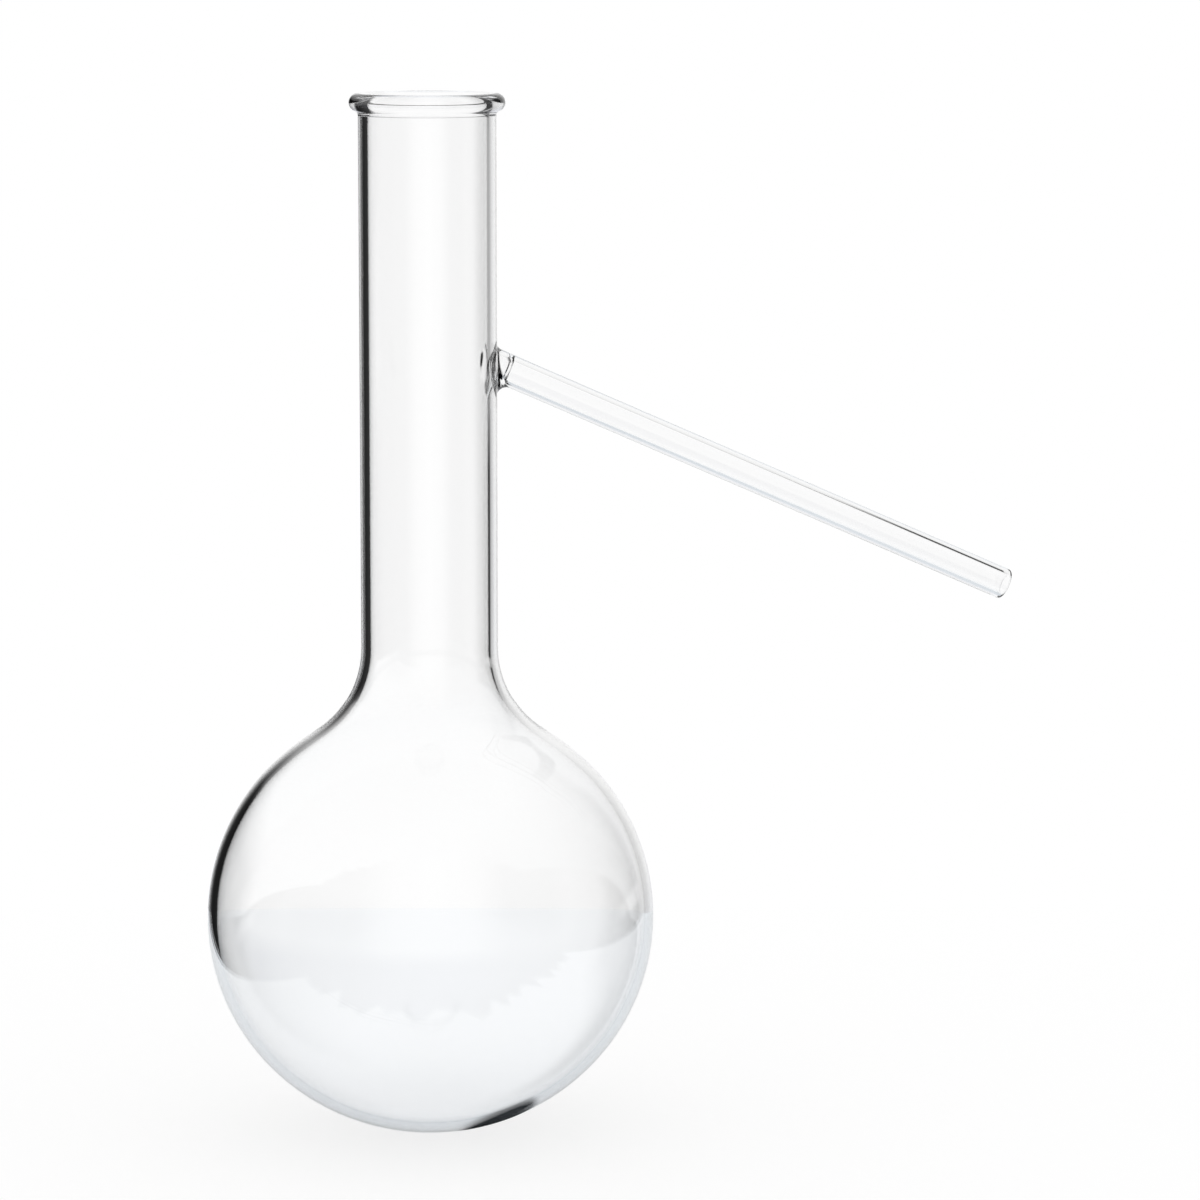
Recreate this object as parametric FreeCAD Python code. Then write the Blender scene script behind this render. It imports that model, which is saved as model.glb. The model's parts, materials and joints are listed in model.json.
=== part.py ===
import FreeCAD, Part
import math
import os

# A distillation flask blown and fused from clear glass as one piece.
# Millimetres, +Z up along the neck, side arm over +X, origin at the lowest point of the bulb.

# Bulb, slightly wider than it is tall
bulb_diameter = 105.0
bulb_height = 102.0
bulb_side_wall = 2.1
bulb_bottom_wall = 2.3

# Neck and the curve that draws the bulb into it
neck_diameter = 32.0
neck_wall = 2.2
shoulder_radius = 24.0
rim_height = 244.0

# Rolled rim, a round bead flush with the neck's bore
rim_bead_diameter = 4.3
rim_bead_blend = 1.2

# Side arm, sloping down from the neck
arm_diameter = 7.4
arm_wall = 1.2
arm_root_diameter = 7.8
arm_root_length = 27.0
arm_slope_deg = 24.0
arm_crossing_height = 188.0
arm_length = 154.0

# Fused joint of the arm and the neck
joint_outer_blend = 2.4
joint_inner_blend = 2.0
fused_ring_height = 0.5
fused_ring_width = 1.6
fused_ring_clearance = 0.1

neck_radius = neck_diameter / 2
neck_bore = neck_radius - neck_wall
arm_radius = arm_diameter / 2
arm_bore = arm_radius - arm_wall
arm_slope = math.radians(arm_slope_deg)
bulb_centre_height = bulb_height / 2


def point(radius, height):
    return FreeCAD.Vector(radius, 0, height)


def line(start, end):
    return Part.LineSegment(start, end).toShape()


def arc(centre, radius, start_deg, middle_deg, end_deg):
    # An arc in the XZ plane, angles from +X towards +Z
    places = []
    for angle_deg in (start_deg, middle_deg, end_deg):
        angle = math.radians(angle_deg)
        places.append(centre + point(radius * math.cos(angle), radius * math.sin(angle)))
    return Part.Arc(*places).toShape(), places[0], places[2]


def revolved(edges):
    face = Part.Face(Part.Wire(edges))
    return face.revolve(FreeCAD.Vector(0, 0, 0), FreeCAD.Vector(0, 0, 1), 360)


def shoulder_angle(half_width, half_height, tube_radius, blend_radius):
    # Turn of the bulb's normal, from +Z, where an arc tangent to bulb and tube leaves the bulb
    low, high = 0.0, math.pi / 2
    while high - low > 1e-12:
        middle = (low + high) / 2
        place = bulb_place(half_width, half_height, middle)
        if place.x + blend_radius * math.sin(middle) < tube_radius + blend_radius:
            low = middle
        else:
            high = middle
    return (low + high) / 2


def bulb_place(half_width, half_height, normal_angle):
    # Point of the bulb's ellipse where its outward normal stands at this angle from +Z
    across = half_width ** 2 * math.sin(normal_angle)
    along = half_height ** 2 * math.cos(normal_angle)
    length = math.hypot(half_width * math.sin(normal_angle), half_height * math.cos(normal_angle))
    return point(across / length, bulb_centre_height + along / length)


def bulb_edges(half_width, half_height, pole, leaves):
    # Two arcs of one ellipse that meet at the widest ring, set up from the longer half axis
    centre, widest = point(0, bulb_centre_height), point(half_width, bulb_centre_height)
    if half_width >= half_height:
        ellipse = Part.Ellipse(widest, centre + point(0, half_height), centre)
    else:
        ellipse = Part.Ellipse(centre + point(0, half_height), centre - point(half_width, 0), centre)
    edges = []
    for start_place, end_place in ((pole, widest), (widest, leaves)):
        start, end = ellipse.parameter(start_place), ellipse.parameter(end_place)
        if end < start:
            end += 2 * math.pi
        edges.append(Part.ArcOfEllipse(ellipse, start, end).toShape())
    return edges


def bulb_and_shoulder(half_width, half_height, tube_radius, blend_radius):
    # Edges from the bottom pole up to the straight neck
    turn = shoulder_angle(half_width, half_height, tube_radius, blend_radius)
    leaves = bulb_place(half_width, half_height, turn)
    centre = leaves + point(blend_radius * math.sin(turn), blend_radius * math.cos(turn))
    pole = point(0, bulb_centre_height - half_height)
    arrives = centre - point(blend_radius, 0)
    halfway_angle = math.pi + (math.pi / 2 - turn) / 2
    halfway = centre + point(blend_radius * math.cos(halfway_angle),
                             blend_radius * math.sin(halfway_angle))
    shoulder_edge = Part.Arc(leaves, halfway, arrives).toShape()
    return bulb_edges(half_width, half_height, pole, leaves) + [shoulder_edge], pole, arrives


def rim_edges(neck_start):
    # From the straight neck over the rolled bead to its innermost line, where the bore begins
    bead = rim_bead_diameter / 2
    centre = point(neck_bore + bead, rim_height - bead)
    reach = bead + rim_bead_blend
    blend_centre_x = neck_radius + rim_bead_blend
    drop = math.sqrt(reach ** 2 - (blend_centre_x - centre.x) ** 2)
    blend_centre = point(blend_centre_x, centre.z - drop)
    meeting_deg = math.degrees(math.atan2(-drop, blend_centre_x - centre.x))
    blend_edge, blend_start, blend_end = arc(
        blend_centre, rim_bead_blend, 180, (180 + 180 + meeting_deg) / 2, 180 + meeting_deg)
    outer_edge, bead_start, bead_top = arc(centre, bead, meeting_deg, (meeting_deg + 90) / 2, 90)
    inner_edge, crown, bead_end = arc(centre, bead, 90, 135, 180)
    return [line(neck_start, blend_start), blend_edge, outer_edge, inner_edge], bead_end


def vessel_outside():
    wall_edges, pole, neck_start = bulb_and_shoulder(
        bulb_diameter / 2, bulb_height / 2, neck_radius, shoulder_radius)
    top_edges, bore_mouth = rim_edges(neck_start)
    plug_centre = point(0, bore_mouth.z)
    return revolved(wall_edges + top_edges + [line(bore_mouth, plug_centre), line(plug_centre, pole)])


def vessel_inside():
    wall_edges, pole, neck_start = bulb_and_shoulder(
        bulb_diameter / 2 - bulb_side_wall, bulb_height / 2 - bulb_bottom_wall,
        neck_bore, shoulder_radius + neck_wall)
    bore_mouth = point(neck_bore, rim_height - rim_bead_diameter / 2)
    plug_centre = point(0, bore_mouth.z)
    closing = [line(neck_start, bore_mouth), line(bore_mouth, plug_centre), line(plug_centre, pole)]
    return revolved(wall_edges + closing)


def laid_along_arm(shape):
    # From upright on the origin to the arm's own line, which starts on the neck's axis
    shape.rotate(FreeCAD.Vector(0, 0, 0), FreeCAD.Vector(0, 1, 0), 90 + arm_slope_deg)
    shape.translate(FreeCAD.Vector(0, 0, arm_crossing_height))
    return shape


def arm_outside():
    # A rod that tapers from its thicker root and rounds over at its end, as a tube does in the flame
    lip = arm_wall / 2
    base, root = point(0, 0), point(arm_root_diameter / 2, 0)
    side = point(arm_radius, arm_root_length)
    centre = point(arm_bore + lip, arm_length - lip)
    lip_edge, lip_start, lip_end = arc(centre, lip, 0, 90, 180)
    plug_centre = point(0, lip_end.z)
    edges = [line(base, root), line(root, side), line(side, lip_start), lip_edge,
             line(lip_end, plug_centre), line(plug_centre, base)]
    return laid_along_arm(revolved(edges))


def fused_ring_place():
    # Along the arm, just past the point where the rounded inner edge has run out
    lower_corner = (neck_bore + arm_bore * math.sin(arm_slope)) / math.cos(arm_slope)
    blend_run = joint_inner_blend / math.tan((math.pi / 2 - arm_slope) / 2)
    return lower_corner + blend_run + fused_ring_clearance + fused_ring_width / 2


def fused_ring_edges():
    # A soft swell into the bore, of three arcs with one radius that meet in line
    middle = fused_ring_place()
    turn = 2 * math.atan(2 * fused_ring_height / fused_ring_width)
    radius = fused_ring_width / (4 * math.sin(turn))
    turn_deg = math.degrees(turn)
    flank_x = arm_bore - radius
    near_flank, start, near_meeting = arc(
        point(flank_x, middle - fused_ring_width / 2), radius, 0, turn_deg / 2, turn_deg)
    crest_centre = point(arm_bore - fused_ring_height + radius, middle)
    crest, crest_start, crest_end = arc(crest_centre, radius, 180 + turn_deg, 180, 180 - turn_deg)
    far_flank, far_meeting, end = arc(
        point(flank_x, middle + fused_ring_width / 2), radius, -turn_deg, -turn_deg / 2, 0)
    return [near_flank, crest, far_flank], start, end


def arm_inside():
    # The bore, narrowed by the ring of glass that gathers where the arm was fused on
    ring, ring_start, ring_end = fused_ring_edges()
    base, side = point(0, 0), point(arm_bore, 0)
    mouth = point(arm_bore, arm_length - arm_wall / 2)
    plug_centre = point(0, mouth.z)
    edges = [line(base, side), line(side, ring_start)] + ring
    edges += [line(ring_end, mouth), line(mouth, plug_centre), line(plug_centre, base)]
    return laid_along_arm(revolved(edges))


def joint_edges(solid, tube_radius, branch_radius):
    # The curve where the arm meets the neck, on the side of the neck that the arm leaves
    reach = tube_radius * 0.5
    chosen = []
    for edge in solid.Edges:
        box = edge.BoundBox
        near_crossing = abs(box.Center.z - arm_crossing_height + box.Center.x * math.tan(arm_slope))
        is_joint = box.XMin > reach and box.XMax < tube_radius + 0.01 and box.YLength > branch_radius
        if is_joint and near_crossing < branch_radius:
            chosen.append(edge)
    return chosen


def blended(vessel, arm, tube_radius, branch_radius, blend_radius):
    solid = vessel.fuse(arm).removeSplitter()
    return solid.makeFillet(blend_radius, joint_edges(solid, tube_radius, branch_radius))


def flask():
    outside = blended(vessel_outside(), arm_outside(), neck_radius, arm_radius, joint_outer_blend)
    inside = blended(vessel_inside(), arm_inside(), neck_bore, arm_bore, joint_inner_blend)
    return outside.cut(inside)


os.makedirs("parts", exist_ok=True)
glass = flask()
glass.exportStep("parts/flask.step")
print("solids", len(glass.Solids), "valid", glass.isValid(), "volume_mm3", round(glass.Volume, 1))
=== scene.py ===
import json
import math
import random
from functools import partial

import bmesh
import bpy
import numpy as np
from mathutils import Matrix, Vector


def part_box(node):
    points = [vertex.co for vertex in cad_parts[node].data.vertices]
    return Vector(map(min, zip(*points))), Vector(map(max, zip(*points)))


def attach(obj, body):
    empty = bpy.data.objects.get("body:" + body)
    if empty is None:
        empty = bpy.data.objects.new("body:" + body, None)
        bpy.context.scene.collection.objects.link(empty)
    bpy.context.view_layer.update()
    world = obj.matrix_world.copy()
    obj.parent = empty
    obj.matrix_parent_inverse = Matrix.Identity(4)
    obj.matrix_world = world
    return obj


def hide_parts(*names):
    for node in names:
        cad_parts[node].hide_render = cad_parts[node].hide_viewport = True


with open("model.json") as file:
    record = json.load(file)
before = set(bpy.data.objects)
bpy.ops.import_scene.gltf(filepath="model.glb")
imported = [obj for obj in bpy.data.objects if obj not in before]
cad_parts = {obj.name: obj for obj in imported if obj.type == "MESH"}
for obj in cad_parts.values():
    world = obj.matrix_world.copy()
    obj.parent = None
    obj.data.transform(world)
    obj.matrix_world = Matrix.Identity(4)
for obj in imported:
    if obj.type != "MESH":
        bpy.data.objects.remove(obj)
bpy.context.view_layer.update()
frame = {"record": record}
mounts = {mount["name"]: mount for mount in frame["record"]["mounts"]}
mm = 0.001
white = (1.0, 1.0, 1.0)

vessel = {                                    # sizes in metres
    "bulbRadius": -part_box("flask")[0].x,
    "bulbHalfHeight": 51.0 * mm,
    "bulbSideWall": 2.1 * mm,
    "bulbBottomWall": 2.3 * mm,
    "neckBore": mounts["neck_bore"]["dims"]["r_mm"] * mm,
    "neckWall": 2.2 * mm,
    "shoulderRadius": 24.0 * mm,
    "rimHeight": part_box("flask")[1].z,
    "beadRadius": 2.15 * mm,
    "beadBlend": 1.2 * mm,
    "segments": 192,                          # columns round the neck
    "bulbRows": 80,
    "shoulderRows": 24,
    "beadBlendRows": 8,
    "beadRows": 40,
    "halvings": 60,                           # steps that find where the shoulder leaves the bulb
    "easing": 10,                             # smoothing passes where the bulb meets the shoulder
    "easedRows": (8, 12),                     # rows before and after that place which they move
    "weld": 1e-6,
}

sideArm = {
    "radius": mounts["side_arm_outside"]["dims"]["r_mm"] * mm,
    "bore": mounts["side_arm_bore"]["dims"]["r_mm"] * mm,
    "slope": math.radians(24.0),
    "crossing": 188.0 * mm,                   # height at which its line meets the neck's axis
    "length": 154.0 * mm,
    "rootRadius": 3.9 * mm,
    "rootLength": 27.0 * mm,
    "middleRow": 0.45,                        # share of the length at which a row of points lies
    "lastRow": 4.0,                           # the last straight row's distance from the tip, in lip radii
    "lipRows": 14,
}

joint = {
    "outerBlend": 2.4 * mm,
    "innerBlend": 2.0 * mm,
    "ringHeight": 0.5 * mm,                   # glass that gathers in the bore where the arm was fused on
    "ringWidth": 1.6 * mm,
    "ringGap": 0.1 * mm,
    "ringRows": 16,
    "ringRunOut": 1.4,                        # where the plain bore's first row lies, in half ring widths
    "outerReach": 24.6 * mm,                  # along the arm, where the patch ends and the tube begins
    "windowColumns": 28,                      # cells that open in the neck for the patch
    "windowRows": 36,
    "outerWindowHeight": 180.2 * mm,
    "innerWindowHeight": 181.2 * mm,
    "neckRows": 7,
    "neckCrowding": 1.3,                      # above 1, the rows on the neck crowd towards the blend
    "blendRows": 12,
    "armRows": 4,
    "ballSteps": 6,                           # steps that find the place of the ball in the corner
    "weld": 2e-6,
}

glassLook = {
    "ior": 1.47,
    "roughness": 0.0,
    "tint": white,
    "absorbColor": (0.78, 0.80, 0.82),
    "absorbDensity": 3.0,
    "noiseDetail": 1.0,
    "waveScale": 55.0,
    "waveHeight": 0.002 * mm,
    "streakScale": 260.0,
    "streakHeight": 0.0005 * mm,
    "streakStretch": 0.06,                    # scale along the height, so that streaks run along the neck
}

cameraView = {
    "swing": math.radians(13.0),
    "drop": math.radians(8.0),
    "targetHeight": 0.1260,
    "targetShift": 0.03988,
    "distance": 1.16875,
    "lens": 150.0,
    "sensor": 36.0,
}

sheet = {                                     # the white sheet that the flask stands on
    "left": 0.131,                            # its reach, as the camera sees it
    "right": 0.250,
    "front": 0.088,
    "back": 0.260,
    "ragged": 0.012,                          # unevenness of its front edge
    "raggedSteps": 44,
    "seed": 5,
    "color": (0.22, 0.22, 0.22),
    "roughness": 0.9,
    "tint": (0.96, 0.98, 1.0),                # what reflections see of it
    "wallReflectionShade": (0.66, 0.71, 0.76),           # and a painted shade: the dimmer floor shown to rays reflected in the thickness of the wall
    "paintedShadowPlace": (0.0175, -0.004),           # a painted contact shadow just under the bulb, which only reflections see
    "paintedShadowReach": (0.009375, 0.0125),         # full up to the first distance, gone at the second
    "paintedShadowColor": (0.10, 0.11, 0.12),
}

roomLook = {                                  # what reflections see, in degrees from the view
    "stops": [(-180, 1.0), (-155, 0.92), (-140, 0.60), (-112, 0.60), (-100, 0.90), (-76, 0.90), (-63, 0.05),
              (-27, 0.012), (-20, 0.03), (-16.5, 0.20), (-13.5, 0.50), (-10.5, 0.85), (-7.5, 1.0), (6, 1.0),
              (13, 0.96), (21, 0.88), (28, 0.78), (34, 0.68), (37.5, 0.50), (40, 0.05), (80, 0.05),
              (104, 0.30), (136, 0.34), (158, 0.90), (180, 1.0)],
    "leftTop": (22.0, 7.0),                   # elevations where the dark zones end, and where they are full
    "rightTop": (60.0, 10.0),
    "lineTurn": (34.0, 65.0, 4.0),            # a lighter line in the right zone: from, to, softness
    "lineHeight": (-6.5, -1.6, 1.2),
    "lineLight": 0.45,
    "panelLean": (0.58, 0.815),               # a dark panel high on the right, with a slanting edge
    "panelSlant": (-10.2, -4.5, 1.2),         # its bounds: from, to, softness
    "panelHeight": (24.0, 48.0, 4.0),
    "panelTurn": (24.0, 54.0, 4.0),
    "panelDark": 0.97,
    "deepLevel": 0.10,                        # share of the light left after two reflections
    "deepTop": (76.0, 36.0),                  # elevations where that loss ends, and where it is full
    "deepAside": (10.0, 18.0),                # and the same to the sides of the view
    "lowFront": (0.90, 0.91, 0.95),           # the room low down is dimmer and a little cooler
    "lowBack": (0.24, 0.26, 0.34),            # and dark behind the camera
    "lowHeight": (-6.0, -15.0),               # where that begins, and where it is full
    "lowAside": (60.0, 80.0),                 # and where the front turns into the back
}


# Node trees are written with these: a value is a constant, or the socket that it comes from
def feed(node, inputs):
    for name, value in inputs.items():
        socket = node.inputs[name]
        if isinstance(value, bpy.types.NodeSocket):
            node.id_data.links.new(value, socket)
        else:
            socket.default_value = (*value, 1.0) if socket.type == "RGBA" else value


def addNode(tree, kind, inputs=None, **settings):
    node = tree.nodes.new(kind)
    for name, setting in settings.items():
        setattr(node, name, setting)
    feed(node, inputs or {})
    return node


def addNumber(tree, operation, *values, clamp=False):
    inputs = dict(enumerate(values))
    return addNode(tree, "ShaderNodeMath", inputs, operation=operation, use_clamp=clamp).outputs[0]


def addWhole(tree, operation, *values):
    return addNode(tree, "FunctionNodeIntegerMath", dict(enumerate(values)), operation=operation).outputs[0]


def addFade(tree, value, none, full):         # 0 at none, 1 at full
    return addNumber(tree, "DIVIDE", addNumber(tree, "SUBTRACT", value, none), full - none, clamp=True)


def addBand(tree, value, low, high, soft):    # 1 between low and high, fading over soft
    rise = addFade(tree, value, low, low + soft)
    return addNumber(tree, "MULTIPLY", rise, addFade(tree, value, high, high - soft))


def addMix(tree, factor, first, second):
    inputs = {"Factor": factor, "A": first, "B": second}
    return addNode(tree, "ShaderNodeMix", inputs, data_type="RGBA").outputs["Result"]


def newMaterial(name):
    material = bpy.data.materials.new(name)
    material.use_nodes = True
    return material, material.node_tree


def addObject(name, data):
    holder = bpy.data.objects.new(name, data)
    bpy.context.scene.collection.objects.link(holder)
    return holder


# Profile of the vessel, from the outer pole over the rim to the inner pole
def bulbPlace(halfWidth, halfHeight, normalAngle):     # the normal's angle is counted from +Z
    length = math.hypot(halfWidth * math.sin(normalAngle), halfHeight * math.cos(normalAngle))
    across = halfWidth ** 2 * math.sin(normalAngle) / length
    along = halfHeight ** 2 * math.cos(normalAngle) / length
    return across, vessel["bulbHalfHeight"] + along


def shoulderTurn(halfWidth, halfHeight, tubeRadius, blend):
    low, high = 0.0, math.pi / 2
    for step in range(vessel["halvings"]):
        middle = (low + high) / 2
        if bulbPlace(halfWidth, halfHeight, middle)[0] + blend * math.sin(middle) < tubeRadius + blend:
            low = middle
        else:
            high = middle
    return low


def arcPlaces(centreX, centreZ, radius, start, end, rows):
    angles = [start + (end - start) * row / rows for row in range(rows + 1)]
    return [(centreX + radius * math.cos(a), centreZ + radius * math.sin(a)) for a in angles]


def easedPlaces(places, middle):              # the curve runs softly from the bulb into the shoulder
    before, after = vessel["easedRows"]
    for step in range(vessel["easing"]):
        old = list(places)
        for row in range(middle - before, middle + after):
            places[row] = tuple((old[row - 1][i] + 2 * old[row][i] + old[row + 1][i]) / 4
                                for i in range(2))
    return places


def wallPlaces(halfWidth, halfHeight, tubeRadius, blend):     # pole to the foot of the straight neck
    turn = shoulderTurn(halfWidth, halfHeight, tubeRadius, blend)
    rows = vessel["bulbRows"]
    places = [bulbPlace(halfWidth, halfHeight, math.pi + (turn - math.pi) * row / rows)
              for row in range(rows + 1)]
    leavesX, leavesZ = places[-1]
    centreX, centreZ = leavesX + blend * math.sin(turn), leavesZ + blend * math.cos(turn)
    places += arcPlaces(centreX, centreZ, blend, 1.5 * math.pi - turn, math.pi, vessel["shoulderRows"])[1:]
    places[0] = (0.0, places[0][1])
    return easedPlaces(places, rows)


def windowHeights(radius, middle):
    cell = 2 * math.pi * radius / vessel["segments"]
    rows = joint["windowRows"]
    return [middle + cell * (row - rows / 2) for row in range(rows + 1)]


def beadPlaces(bore, outer):                  # from the straight neck over the rolled rim to the bore
    bead, blend = vessel["beadRadius"], vessel["beadBlend"]
    beadX, beadZ = bore + bead, vessel["rimHeight"] - bead
    drop = math.sqrt((bead + blend) ** 2 - (outer + blend - beadX) ** 2)
    meeting = math.atan2(-drop, outer + blend - beadX)
    places = arcPlaces(outer + blend, beadZ - drop, blend, math.pi, math.pi + meeting,
                       vessel["beadBlendRows"])
    return places + arcPlaces(beadX, beadZ, bead, meeting, math.pi, vessel["beadRows"])[1:]


def vesselProfile():                          # and the strips that open where the patch goes
    bore, wall = vessel["neckBore"], vessel["neckWall"]
    halfWidth, halfHeight, blend = vessel["bulbRadius"], vessel["bulbHalfHeight"], vessel["shoulderRadius"]
    outer = bore + wall
    places = wallPlaces(halfWidth, halfHeight, outer, blend)
    openFrom = len(places)
    places += [(outer, height) for height in windowHeights(outer, joint["outerWindowHeight"])]
    opened = list(range(openFrom, len(places) - 1))
    places += beadPlaces(bore, outer)
    openFrom = len(places)
    places += [(bore, height) for height in reversed(windowHeights(bore, joint["innerWindowHeight"]))]
    opened += list(range(openFrom, len(places) - 1))
    places += reversed(wallPlaces(halfWidth - vessel["bulbSideWall"], halfHeight - vessel["bulbBottomWall"],
                                  bore, blend + wall))
    return places, opened


# Profile of the side arm, from the joint along its outside, over the lip and back along its bore
def rootRadiusAt(along):
    share = min(along / sideArm["rootLength"], 1.0)
    return sideArm["rootRadius"] + (sideArm["radius"] - sideArm["rootRadius"]) * share


def ringMiddle():
    slope, blend = sideArm["slope"], joint["innerBlend"]
    corner = (vessel["neckBore"] + sideArm["bore"] * math.sin(slope)) / math.cos(slope)
    run = blend / math.tan((math.pi / 2 - slope) / 2)
    return corner + run + joint["ringGap"] + joint["ringWidth"] / 2


def ringSwell(offset):                        # three arcs of one radius, tangent to each other and the bore
    height, width = joint["ringHeight"], joint["ringWidth"]
    radius = width / (4 * math.sin(2 * math.atan(2 * height / width)))
    if abs(offset) < width / 4:
        return height - radius + math.sqrt(radius ** 2 - offset ** 2)
    return radius - math.sqrt(radius ** 2 - (width / 2 - abs(offset)) ** 2)


def armProfile():
    radius, bore, length = sideArm["radius"], sideArm["bore"], sideArm["length"]
    lip = (radius - bore) / 2
    middle, last = length * sideArm["middleRow"], length - lip * sideArm["lastRow"]
    places = [(rootRadiusAt(joint["outerReach"]), joint["outerReach"]),
              (radius, sideArm["rootLength"]), (radius, middle), (radius, last)]
    places += arcPlaces(bore + lip, length - lip, lip, 0, math.pi, sideArm["lipRows"])
    ring, half, rows = ringMiddle(), joint["ringWidth"] / 2, joint["ringRows"]
    places += [(bore, last), (bore, middle), (bore, ring + half * joint["ringRunOut"])]
    for row in range(rows + 1):
        offset = half - 2 * half * row / rows
        places.append((bore - ringSwell(offset), ring + offset))
    return places, []


# One Geometry Nodes tree turns a profile into a skin, and leaves out the cells where the patch goes
def turnedPlaces(tree, profile, rows, segments, index):
    number, whole = partial(addNumber, tree), partial(addWhole, tree)
    inputs = {"Geometry": profile, "Value": addNode(tree, "GeometryNodeInputPosition").outputs[0],
              "Index": whole("MODULO", index, rows)}
    sample = addNode(tree, "GeometryNodeSampleIndex", inputs, data_type="FLOAT_VECTOR", domain="POINT")
    parts = addNode(tree, "ShaderNodeSeparateXYZ", {0: sample.outputs[0]}).outputs
    step = number("DIVIDE", 2 * math.pi, segments)
    turn = number("MULTIPLY", whole("DIVIDE", index, rows), step)
    return addNode(tree, "ShaderNodeCombineXYZ", {
        "X": number("MULTIPLY", parts["X"], number("COSINE", turn)),
        "Y": number("MULTIPLY", parts["X"], number("SINE", turn)),
        "Z": parts["Z"],
    }).outputs[0]


def windowCells(tree, profile, rows, segments, columns, index):
    number, whole = partial(addNumber, tree), partial(addWhole, tree)
    strips = whole("SUBTRACT", rows, 1)
    marks = addNode(tree, "GeometryNodeInputNamedAttribute", {"Name": "openStrip"}, data_type="INT")
    inputs = {"Geometry": profile, "Value": marks.outputs["Attribute"],
              "Index": whole("MODULO", index, strips)}
    opened = addNode(tree, "GeometryNodeSampleIndex", inputs, data_type="INT", domain="POINT")
    column = whole("DIVIDE", index, strips)
    fromBack = whole("SUBTRACT", whole("SUBTRACT", segments, 1), column)
    near = number("LESS_THAN", whole("MINIMUM", column, fromBack), whole("DIVIDE", columns, 2))
    return number("MULTIPLY", near, opened.outputs[0])


def latheTree():
    tree = bpy.data.node_groups.new("latheSkin", "GeometryNodeTree")
    sockets = tree.interface
    for name, kind in (("Geometry", "Geometry"), ("Segments", "Int"), ("Window Columns", "Int"),
                       ("Weld Distance", "Float"), ("Material", "Material")):
        sockets.new_socket(name, in_out="INPUT", socket_type="NodeSocket" + kind)
    sockets.new_socket("Geometry", in_out="OUTPUT", socket_type="NodeSocketGeometry")
    add, whole = partial(addNode, tree), partial(addWhole, tree)
    given = add("NodeGroupInput").outputs
    profile, segments = given["Geometry"], given["Segments"]
    size = add("GeometryNodeAttributeDomainSize", {0: profile}, component="MESH")
    rows = size.outputs["Point Count"]
    index = add("GeometryNodeInputIndex").outputs[0]
    grid = add("GeometryNodeMeshGrid", {"Vertices X": whole("ADD", segments, 1), "Vertices Y": rows})
    places = turnedPlaces(tree, profile, rows, segments, index)
    laid = add("GeometryNodeSetPosition", {"Geometry": grid.outputs["Mesh"], "Position": places})
    window = windowCells(tree, profile, rows, segments, given["Window Columns"], index)
    cut = add("GeometryNodeDeleteGeometry", {"Geometry": laid.outputs[0], "Selection": window},
              domain="FACE")
    weld = add("GeometryNodeMergeByDistance",
               {"Geometry": cut.outputs[0], "Distance": given["Weld Distance"]})
    smooth = add("GeometryNodeSetShadeSmooth", {"Geometry": weld.outputs[0]})
    real = add("GeometryNodeRealizeInstances", {0: smooth.outputs[0]})
    finish = add("GeometryNodeSetMaterial", {"Geometry": real.outputs[0], "Material": given["Material"]})
    add("NodeGroupOutput", {0: finish.outputs[0]})
    return tree


def turned(tree, name, profile, segments, windowColumns, material):
    places, opened = profile
    mesh = bpy.data.meshes.new(name)
    mesh.from_pydata([(x, 0.0, z) for x, z in places], [], [])
    marks = mesh.attributes.new("openStrip", "INT", "POINT")
    for row in opened:
        marks.data[row].value = 1
    holder = addObject(name, mesh)
    modifier = holder.modifiers.new("lathe", "NODES")
    modifier.node_group = tree
    values = {"Segments": segments, "Window Columns": windowColumns, "Weld Distance": vessel["weld"],
              "Material": material}
    for item in tree.interface.items_tree:
        if item.in_out == "INPUT" and item.name in values:
            modifier[item.identifier] = values[item.name]
    holder.update_tag()
    ready = holder.evaluated_get(bpy.context.evaluated_depsgraph_get())
    skin = bpy.data.meshes.new_from_object(ready)
    bpy.data.objects.remove(holder)
    return skin


# The patch round the joint: on the neck, over the blend, then along the arm to a plane ring
def armFrame():                               # its start, and the ways along, across and above it
    slope = sideArm["slope"]
    along = np.array([math.cos(slope), 0.0, -math.sin(slope)])
    above = np.array([math.sin(slope), 0.0, math.cos(slope)])
    return np.array([0.0, 0.0, sideArm["crossing"]]), along, np.array([0.0, 1.0, 0.0]), above


def windowPlaces(radius, middle):             # turn and height of the window's edge, from +Y upwards
    halfX, halfZ = joint["windowColumns"] // 2, joint["windowRows"] // 2
    cells = [(halfX, j) for j in range(0, halfZ)]
    cells += [(i, halfZ) for i in range(halfX, -halfX, -1)]
    cells += [(-halfX, j) for j in range(halfZ, -halfZ, -1)]
    cells += [(i, -halfZ) for i in range(-halfX, halfX)]
    cells += [(halfX, j) for j in range(-halfZ, 0)]
    turn = 2 * math.pi / vessel["segments"]
    heights = windowHeights(radius, middle)
    return [(i * turn, heights[j + halfZ]) for i, j in cells]


def ballPlace(neckRadius, armRadiusAt, blend, reach, angle):     # the ball touches both neck and arm
    origin, along, across, above = armFrame()
    outward = math.cos(angle) * across + math.sin(angle) * above
    slope, distance = sideArm["slope"], reach
    for step in range(joint["ballSteps"]):
        offset = armRadiusAt(distance) + blend
        x = math.sqrt((neckRadius + blend) ** 2 - (offset * math.cos(angle)) ** 2)
        distance = (x - offset * math.sin(angle) * math.sin(slope)) / math.cos(slope)
    return origin + distance * along + offset * outward, distance, outward


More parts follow.
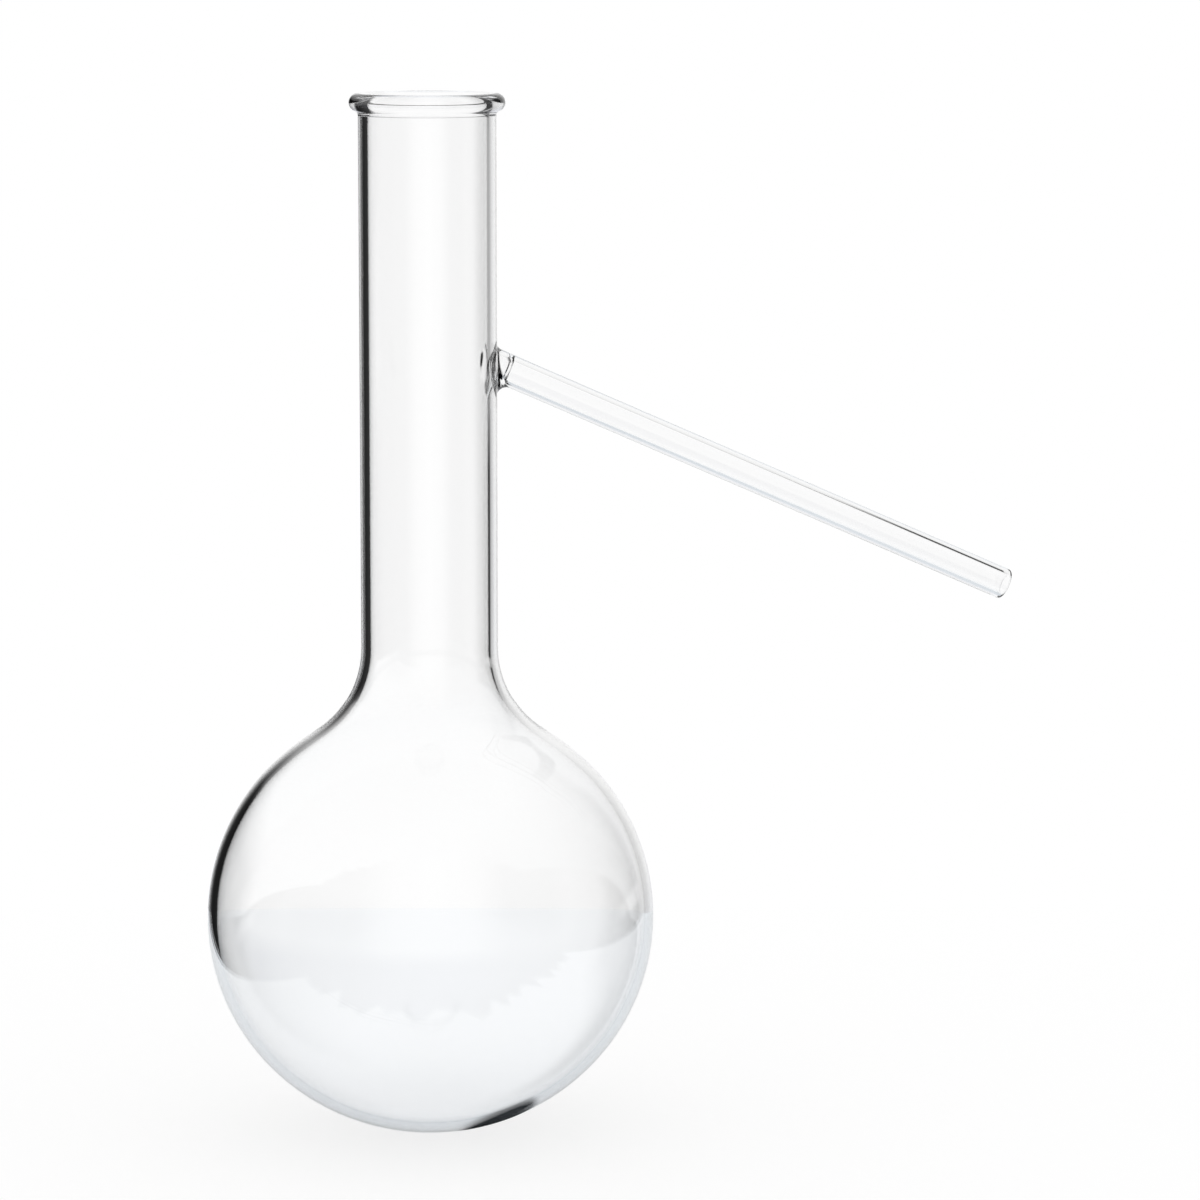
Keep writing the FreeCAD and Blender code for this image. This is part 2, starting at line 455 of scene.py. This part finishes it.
def neckColumn(neckRadius, turn, height, touch):     # from the window's edge to where the ball touches
    touchTurn = math.atan2(touch[1], touch[0])
    column = []
    for row in range(joint["neckRows"]):
        share = 1 - (1 - row / joint["neckRows"]) ** joint["neckCrowding"]
        rowTurn = turn + (touchTurn - turn) * share
        column.append(np.array([neckRadius * math.cos(rowTurn), neckRadius * math.sin(rowTurn),
                                height + (touch[2] - height) * share]))
    return column


def blendColumn(centre, blend, fromNeck, outward):     # over the ball, from neck to arm
    opening = math.acos(float(np.clip(fromNeck @ outward, -1, 1)))
    column = []
    for row in range(joint["blendRows"]):
        share = row / joint["blendRows"]
        mixed = math.sin((1 - share) * opening) * fromNeck + math.sin(share * opening) * outward
        column.append(centre - blend * mixed / math.sin(opening))
    return column


def jointRows(neckRadius, armRadiusAt, blend, middle, reach):
    origin, along = armFrame()[:2]
    edge = windowPlaces(neckRadius, middle)
    columns = []
    for count, (turn, height) in enumerate(edge):
        angle = 2 * math.pi * count / len(edge)
        centre, distance, outward = ballPlace(neckRadius, armRadiusAt, blend, reach, angle)
        fromNeck = np.array([centre[0], centre[1], 0.0]) / math.hypot(centre[0], centre[1])
        column = neckColumn(neckRadius, turn, height, centre - blend * fromNeck)
        column += blendColumn(centre, blend, fromNeck, outward)
        for row in range(joint["armRows"] + 1):
            t = distance + (reach - distance) * row / joint["armRows"]
            column.append(origin + t * along + armRadiusAt(t) * outward)
        columns.append(column)
    return list(zip(*columns))


def addRows(bm, rows, facesOut):
    made = [[bm.verts.new(place) for place in row] for row in rows]
    for low, high in zip(made, made[1:]):
        for k in range(len(low)):
            corners = [low[k - 1], low[k], high[k], high[k - 1]]
            bm.faces.new(corners if facesOut else list(reversed(corners))).smooth = True


def joinedSkins(body, tube):
    origin, along, across, above = armFrame()
    tube.transform(Matrix([(across[i], above[i], along[i], origin[i]) for i in range(3)] + [(0, 0, 0, 1)]))
    bm = bmesh.new()
    bm.from_mesh(body)
    bm.from_mesh(tube)
    outer = vessel["neckBore"] + vessel["neckWall"]
    addRows(bm, jointRows(outer, rootRadiusAt, joint["outerBlend"], joint["outerWindowHeight"],
                          joint["outerReach"]), True)
    addRows(bm, jointRows(vessel["neckBore"], lambda t: sideArm["bore"], joint["innerBlend"],
                          joint["innerWindowHeight"], ringMiddle() - joint["ringWidth"] / 2), False)
    bmesh.ops.remove_doubles(bm, verts=bm.verts, dist=joint["weld"])
    openEdges = sum(1 for edge in bm.edges if len(edge.link_faces) != 2)
    print("glass volume cm3", round(bm.calc_volume(signed=True) * 1e6, 2), "open edges", openEdges)
    return bm


def buildFlask(material):
    tree = latheTree()
    body = turned(tree, "vesselSkin", vesselProfile(), vessel["segments"], joint["windowColumns"], material)
    around = 2 * (joint["windowColumns"] + joint["windowRows"])
    tube = turned(tree, "armSkin", armProfile(), around, 0, material)
    bm = joinedSkins(body, tube)
    mesh = bpy.data.meshes.new("flaskGlass")
    bm.to_mesh(mesh)
    bm.free()
    mesh.materials.clear()
    mesh.materials.append(material)
    for attribute in [a for a in mesh.attributes if a.name in ("openStrip", "UVMap")]:
        mesh.attributes.remove(attribute)
    mesh.shade_smooth()
    triangles = sum(len(face.vertices) - 2 for face in mesh.polygons)
    print("flask glass", len(mesh.vertices), "points", triangles, "triangles")
    return addObject("flask_glass", mesh)


# Clear glass, with the faint waves and drawn streaks of blown tube
def addBump(tree, place, scale, height, below):
    noise = addNode(tree, "ShaderNodeTexNoise", {"Vector": place, "Scale": scale,
                                                 "Detail": glassLook["noiseDetail"]})
    inputs = {"Height": noise.outputs["Fac"], "Strength": 1.0, "Distance": height, **below}
    return addNode(tree, "ShaderNodeBump", inputs).outputs["Normal"]


def clearGlass():
    material, tree = newMaterial("clearGlass")
    place = addNode(tree, "ShaderNodeTexCoord").outputs["Object"]
    stretch = (1.0, 1.0, glassLook["streakStretch"])
    drawn = addNode(tree, "ShaderNodeMapping", {"Vector": place, "Scale": stretch}).outputs["Vector"]
    waves = addBump(tree, place, glassLook["waveScale"], glassLook["waveHeight"], {})
    streaks = addBump(tree, drawn, glassLook["streakScale"], glassLook["streakHeight"], {"Normal": waves})
    feed(tree.nodes["Principled BSDF"], {
        "Base Color": glassLook["tint"],
        "Roughness": glassLook["roughness"],
        "IOR": glassLook["ior"],
        "Transmission Weight": 1.0,
        "Normal": streaks,
    })
    depth = addNode(tree, "ShaderNodeVolumeAbsorption", {"Color": glassLook["absorbColor"],
                                                         "Density": glassLook["absorbDensity"]})
    feed(tree.nodes["Material Output"], {"Volume": depth.outputs[0]})
    return material


# Studio: camera, floor, and a white world in which only reflections see the room
def makeCamera():
    swing, drop = cameraView["swing"], cameraView["drop"]
    forward = Vector((math.sin(swing) * math.cos(drop), math.cos(swing) * math.cos(drop), -math.sin(drop)))
    right = Vector((math.cos(swing), -math.sin(swing), 0.0))
    camera = bpy.data.cameras.new("camera")
    camera.lens = cameraView["lens"]
    camera.sensor_width = cameraView["sensor"]
    camera.sensor_fit = "HORIZONTAL"
    holder = addObject("camera", camera)
    target = Vector((0, 0, cameraView["targetHeight"])) + right * cameraView["targetShift"]
    holder.location = target - forward * cameraView["distance"]
    holder.rotation_euler = forward.to_track_quat("-Z", "Y").to_euler()
    bpy.context.scene.camera = holder


def floorPlace(across, away):                 # a place on the floor, from where the camera sees it
    swing = cameraView["swing"]
    return (across * math.cos(swing) + away * math.sin(swing),
            away * math.cos(swing) - across * math.sin(swing), 0.0)


def paleFloor():
    material, tree = newMaterial("paleFloor")
    number, mix = partial(addNumber, tree), partial(addMix, tree)
    path = addNode(tree, "ShaderNodeLightPath").outputs     # its depths are counts: bounds lie halfway
    inWall = number("MULTIPLY", number("COMPARE", path["Transmission Depth"], 2.0, 0.5),
                    number("COMPARE", path["Glossy Depth"], 1.0, 0.5))     # reflected once in the wall
    shown = mix(path["Is Glossy Ray"], white, sheet["tint"])
    seen = number("MAXIMUM", path["Is Camera Ray"], path["Is Transmission Ray"])
    seen = number("MAXIMUM", seen, path["Is Glossy Ray"])
    place = addNode(tree, "ShaderNodeTexCoord").outputs["Object"]
    # painted contact shadow: near the bulb the floor's colour and glow darken, for reflected rays only
    inputs = {0: place, 1: floorPlace(*sheet["paintedShadowPlace"])}
    span = addNode(tree, "ShaderNodeVectorMath", inputs, operation="DISTANCE").outputs["Value"]
    straight = number("LESS_THAN", path["Glossy Depth"], 0.5)
    through = number("GREATER_THAN", path["Transmission Depth"], 2.5)
    outsidePaintedShadow = number("MAXIMUM", addFade(tree, span, *sheet["paintedShadowReach"]),
                  number("MAXIMUM", straight, through))     # 0 where a reflected ray meets the painted contact shadow
    lift = number("MULTIPLY", seen, 1.0 - sheet["color"][0])
    feed(tree.nodes["Principled BSDF"], {
        "Base Color": mix(outsidePaintedShadow, sheet["paintedShadowColor"], sheet["color"]),
        "Roughness": sheet["roughness"],
        "Specular IOR Level": 0.0,
        # painted shade: rays reflected once inside the glass wall see the floor glow dimmer and cooler
        "Emission Color": mix(inWall, shown, sheet["wallReflectionShade"]),
        "Emission Strength": number("MULTIPLY", lift, outsidePaintedShadow),
    })
    return material


def makeFloor():
    chance = random.Random(sheet["seed"])
    left, right, near, far = (sheet[side] for side in ("left", "right", "front", "back"))
    steps = sheet["raggedSteps"]
    outline = [(-left + (left + right) * step / steps, -near + sheet["ragged"] * chance.uniform(-1, 1))
               for step in range(steps + 1)]
    outline += [(right, far), (-left, far)]
    bm = bmesh.new()
    bm.faces.new([bm.verts.new(floorPlace(*corner)) for corner in outline])
    mesh = bpy.data.meshes.new("floor")
    bm.to_mesh(mesh)
    bm.free()
    mesh.materials.append(paleFloor())
    floor = addObject("floor", mesh)


def lookedAt(tree):                           # direction of a ray: degrees from the view, and elevation
    number = partial(addNumber, tree)
    way = addNode(tree, "ShaderNodeTexCoord").outputs["Generated"]
    parts = addNode(tree, "ShaderNodeSeparateXYZ", {0: way}).outputs
    azimuth = number("DEGREES", number("ARCTAN2", parts["X"], parts["Y"]))
    shifted = number("SUBTRACT", azimuth, math.degrees(cameraView["swing"]) - 180.0)
    fromView = number("SUBTRACT", number("FLOORED_MODULO", shifted, 360.0), 180.0)
    return fromView, number("DEGREES", number("ARCSINE", parts["Z"]))


def darkZones(tree, fromView, elevation):
    number, fade, band = partial(addNumber, tree), partial(addFade, tree), partial(addBand, tree)
    ramp = addNode(tree, "ShaderNodeValToRGB", {"Fac": fade(fromView, -180.0, 180.0)})
    stops = ramp.color_ramp.elements
    for count, (angle, level) in enumerate(roomLook["stops"]):
        place = (angle + 180) / 360
        stop = stops[count] if count < 2 else stops.new(place)
        stop.position = place
        stop.color = (level, level, level, 1.0)
    line = number("MULTIPLY", band(fromView, *roomLook["lineTurn"]),
                  band(elevation, *roomLook["lineHeight"]))
    room = number("MAXIMUM", ramp.outputs["Color"], number("MULTIPLY", line, roomLook["lineLight"]))
    onLeft = number("LESS_THAN", fromView, 0.0)
    onRight = number("SUBTRACT", 1.0, onLeft)
    below = number("ADD", number("MULTIPLY", onLeft, fade(elevation, *roomLook["leftTop"])),
                   number("MULTIPLY", onRight, fade(elevation, *roomLook["rightTop"])))
    return number("MULTIPLY", number("SUBTRACT", 1.0, room), below)


def darkPanel(tree, fromView, elevation):
    number, band = partial(addNumber, tree), partial(addBand, tree)
    acrossShare, heightShare = roomLook["panelLean"]
    slant = number("SUBTRACT", number("MULTIPLY", fromView, acrossShare),
                   number("MULTIPLY", elevation, heightShare))
    edges = number("MULTIPLY", band(slant, *roomLook["panelSlant"]),
                   band(elevation, *roomLook["panelHeight"]))
    panel = number("MULTIPLY", edges, band(fromView, *roomLook["panelTurn"]))
    return number("MULTIPLY", panel, roomLook["panelDark"])


def makeWorld():
    world = bpy.data.worlds.new("studioWorld")
    bpy.context.scene.world = world
    world.use_nodes = True
    tree = world.node_tree
    number, fade, mix = partial(addNumber, tree), partial(addFade, tree), partial(addMix, tree)
    fromView, elevation = lookedAt(tree)
    aside = number("ABSOLUTE", fromView)
    path = addNode(tree, "ShaderNodeLightPath").outputs     # its depths are counts: bounds lie halfway
    reflected = number("GREATER_THAN", path["Glossy Depth"], 0.5)
    twice = number("GREATER_THAN", path["Glossy Depth"], 1.5)
    inWall = number("COMPARE", path["Transmission Depth"], 2.0, 0.5)
    outside = number("LESS_THAN", path["Transmission Depth"], 2.5)
    dark = number("MAXIMUM", darkZones(tree, fromView, elevation),
                  number("MULTIPLY", darkPanel(tree, fromView, elevation), inWall))
    light = number("SUBTRACT", 1.0, number("MULTIPLY", dark, reflected))
    deep = number("MULTIPLY", number("MULTIPLY", twice, fade(elevation, *roomLook["deepTop"])),
                  fade(aside, *roomLook["deepAside"]))
    kept = number("SUBTRACT", 1.0, number("MULTIPLY", deep, 1.0 - roomLook["deepLevel"]))
    lower = mix(fade(aside, *roomLook["lowAside"]), roomLook["lowFront"], roomLook["lowBack"])
    low = number("MULTIPLY", fade(elevation, *roomLook["lowHeight"]),
                 number("MULTIPLY", reflected, outside))
    feed(tree.nodes["Background"], {
        "Strength": number("MULTIPLY", light, kept),
        "Color": mix(low, white, lower),
    })


bpy.context.scene.view_settings.view_transform = "Standard"
makeCamera()
makeFloor()
makeWorld()
print("studio ready")

glass = buildFlask(clearGlass())
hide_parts("flask")
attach(glass, "root")
print("flask ready")
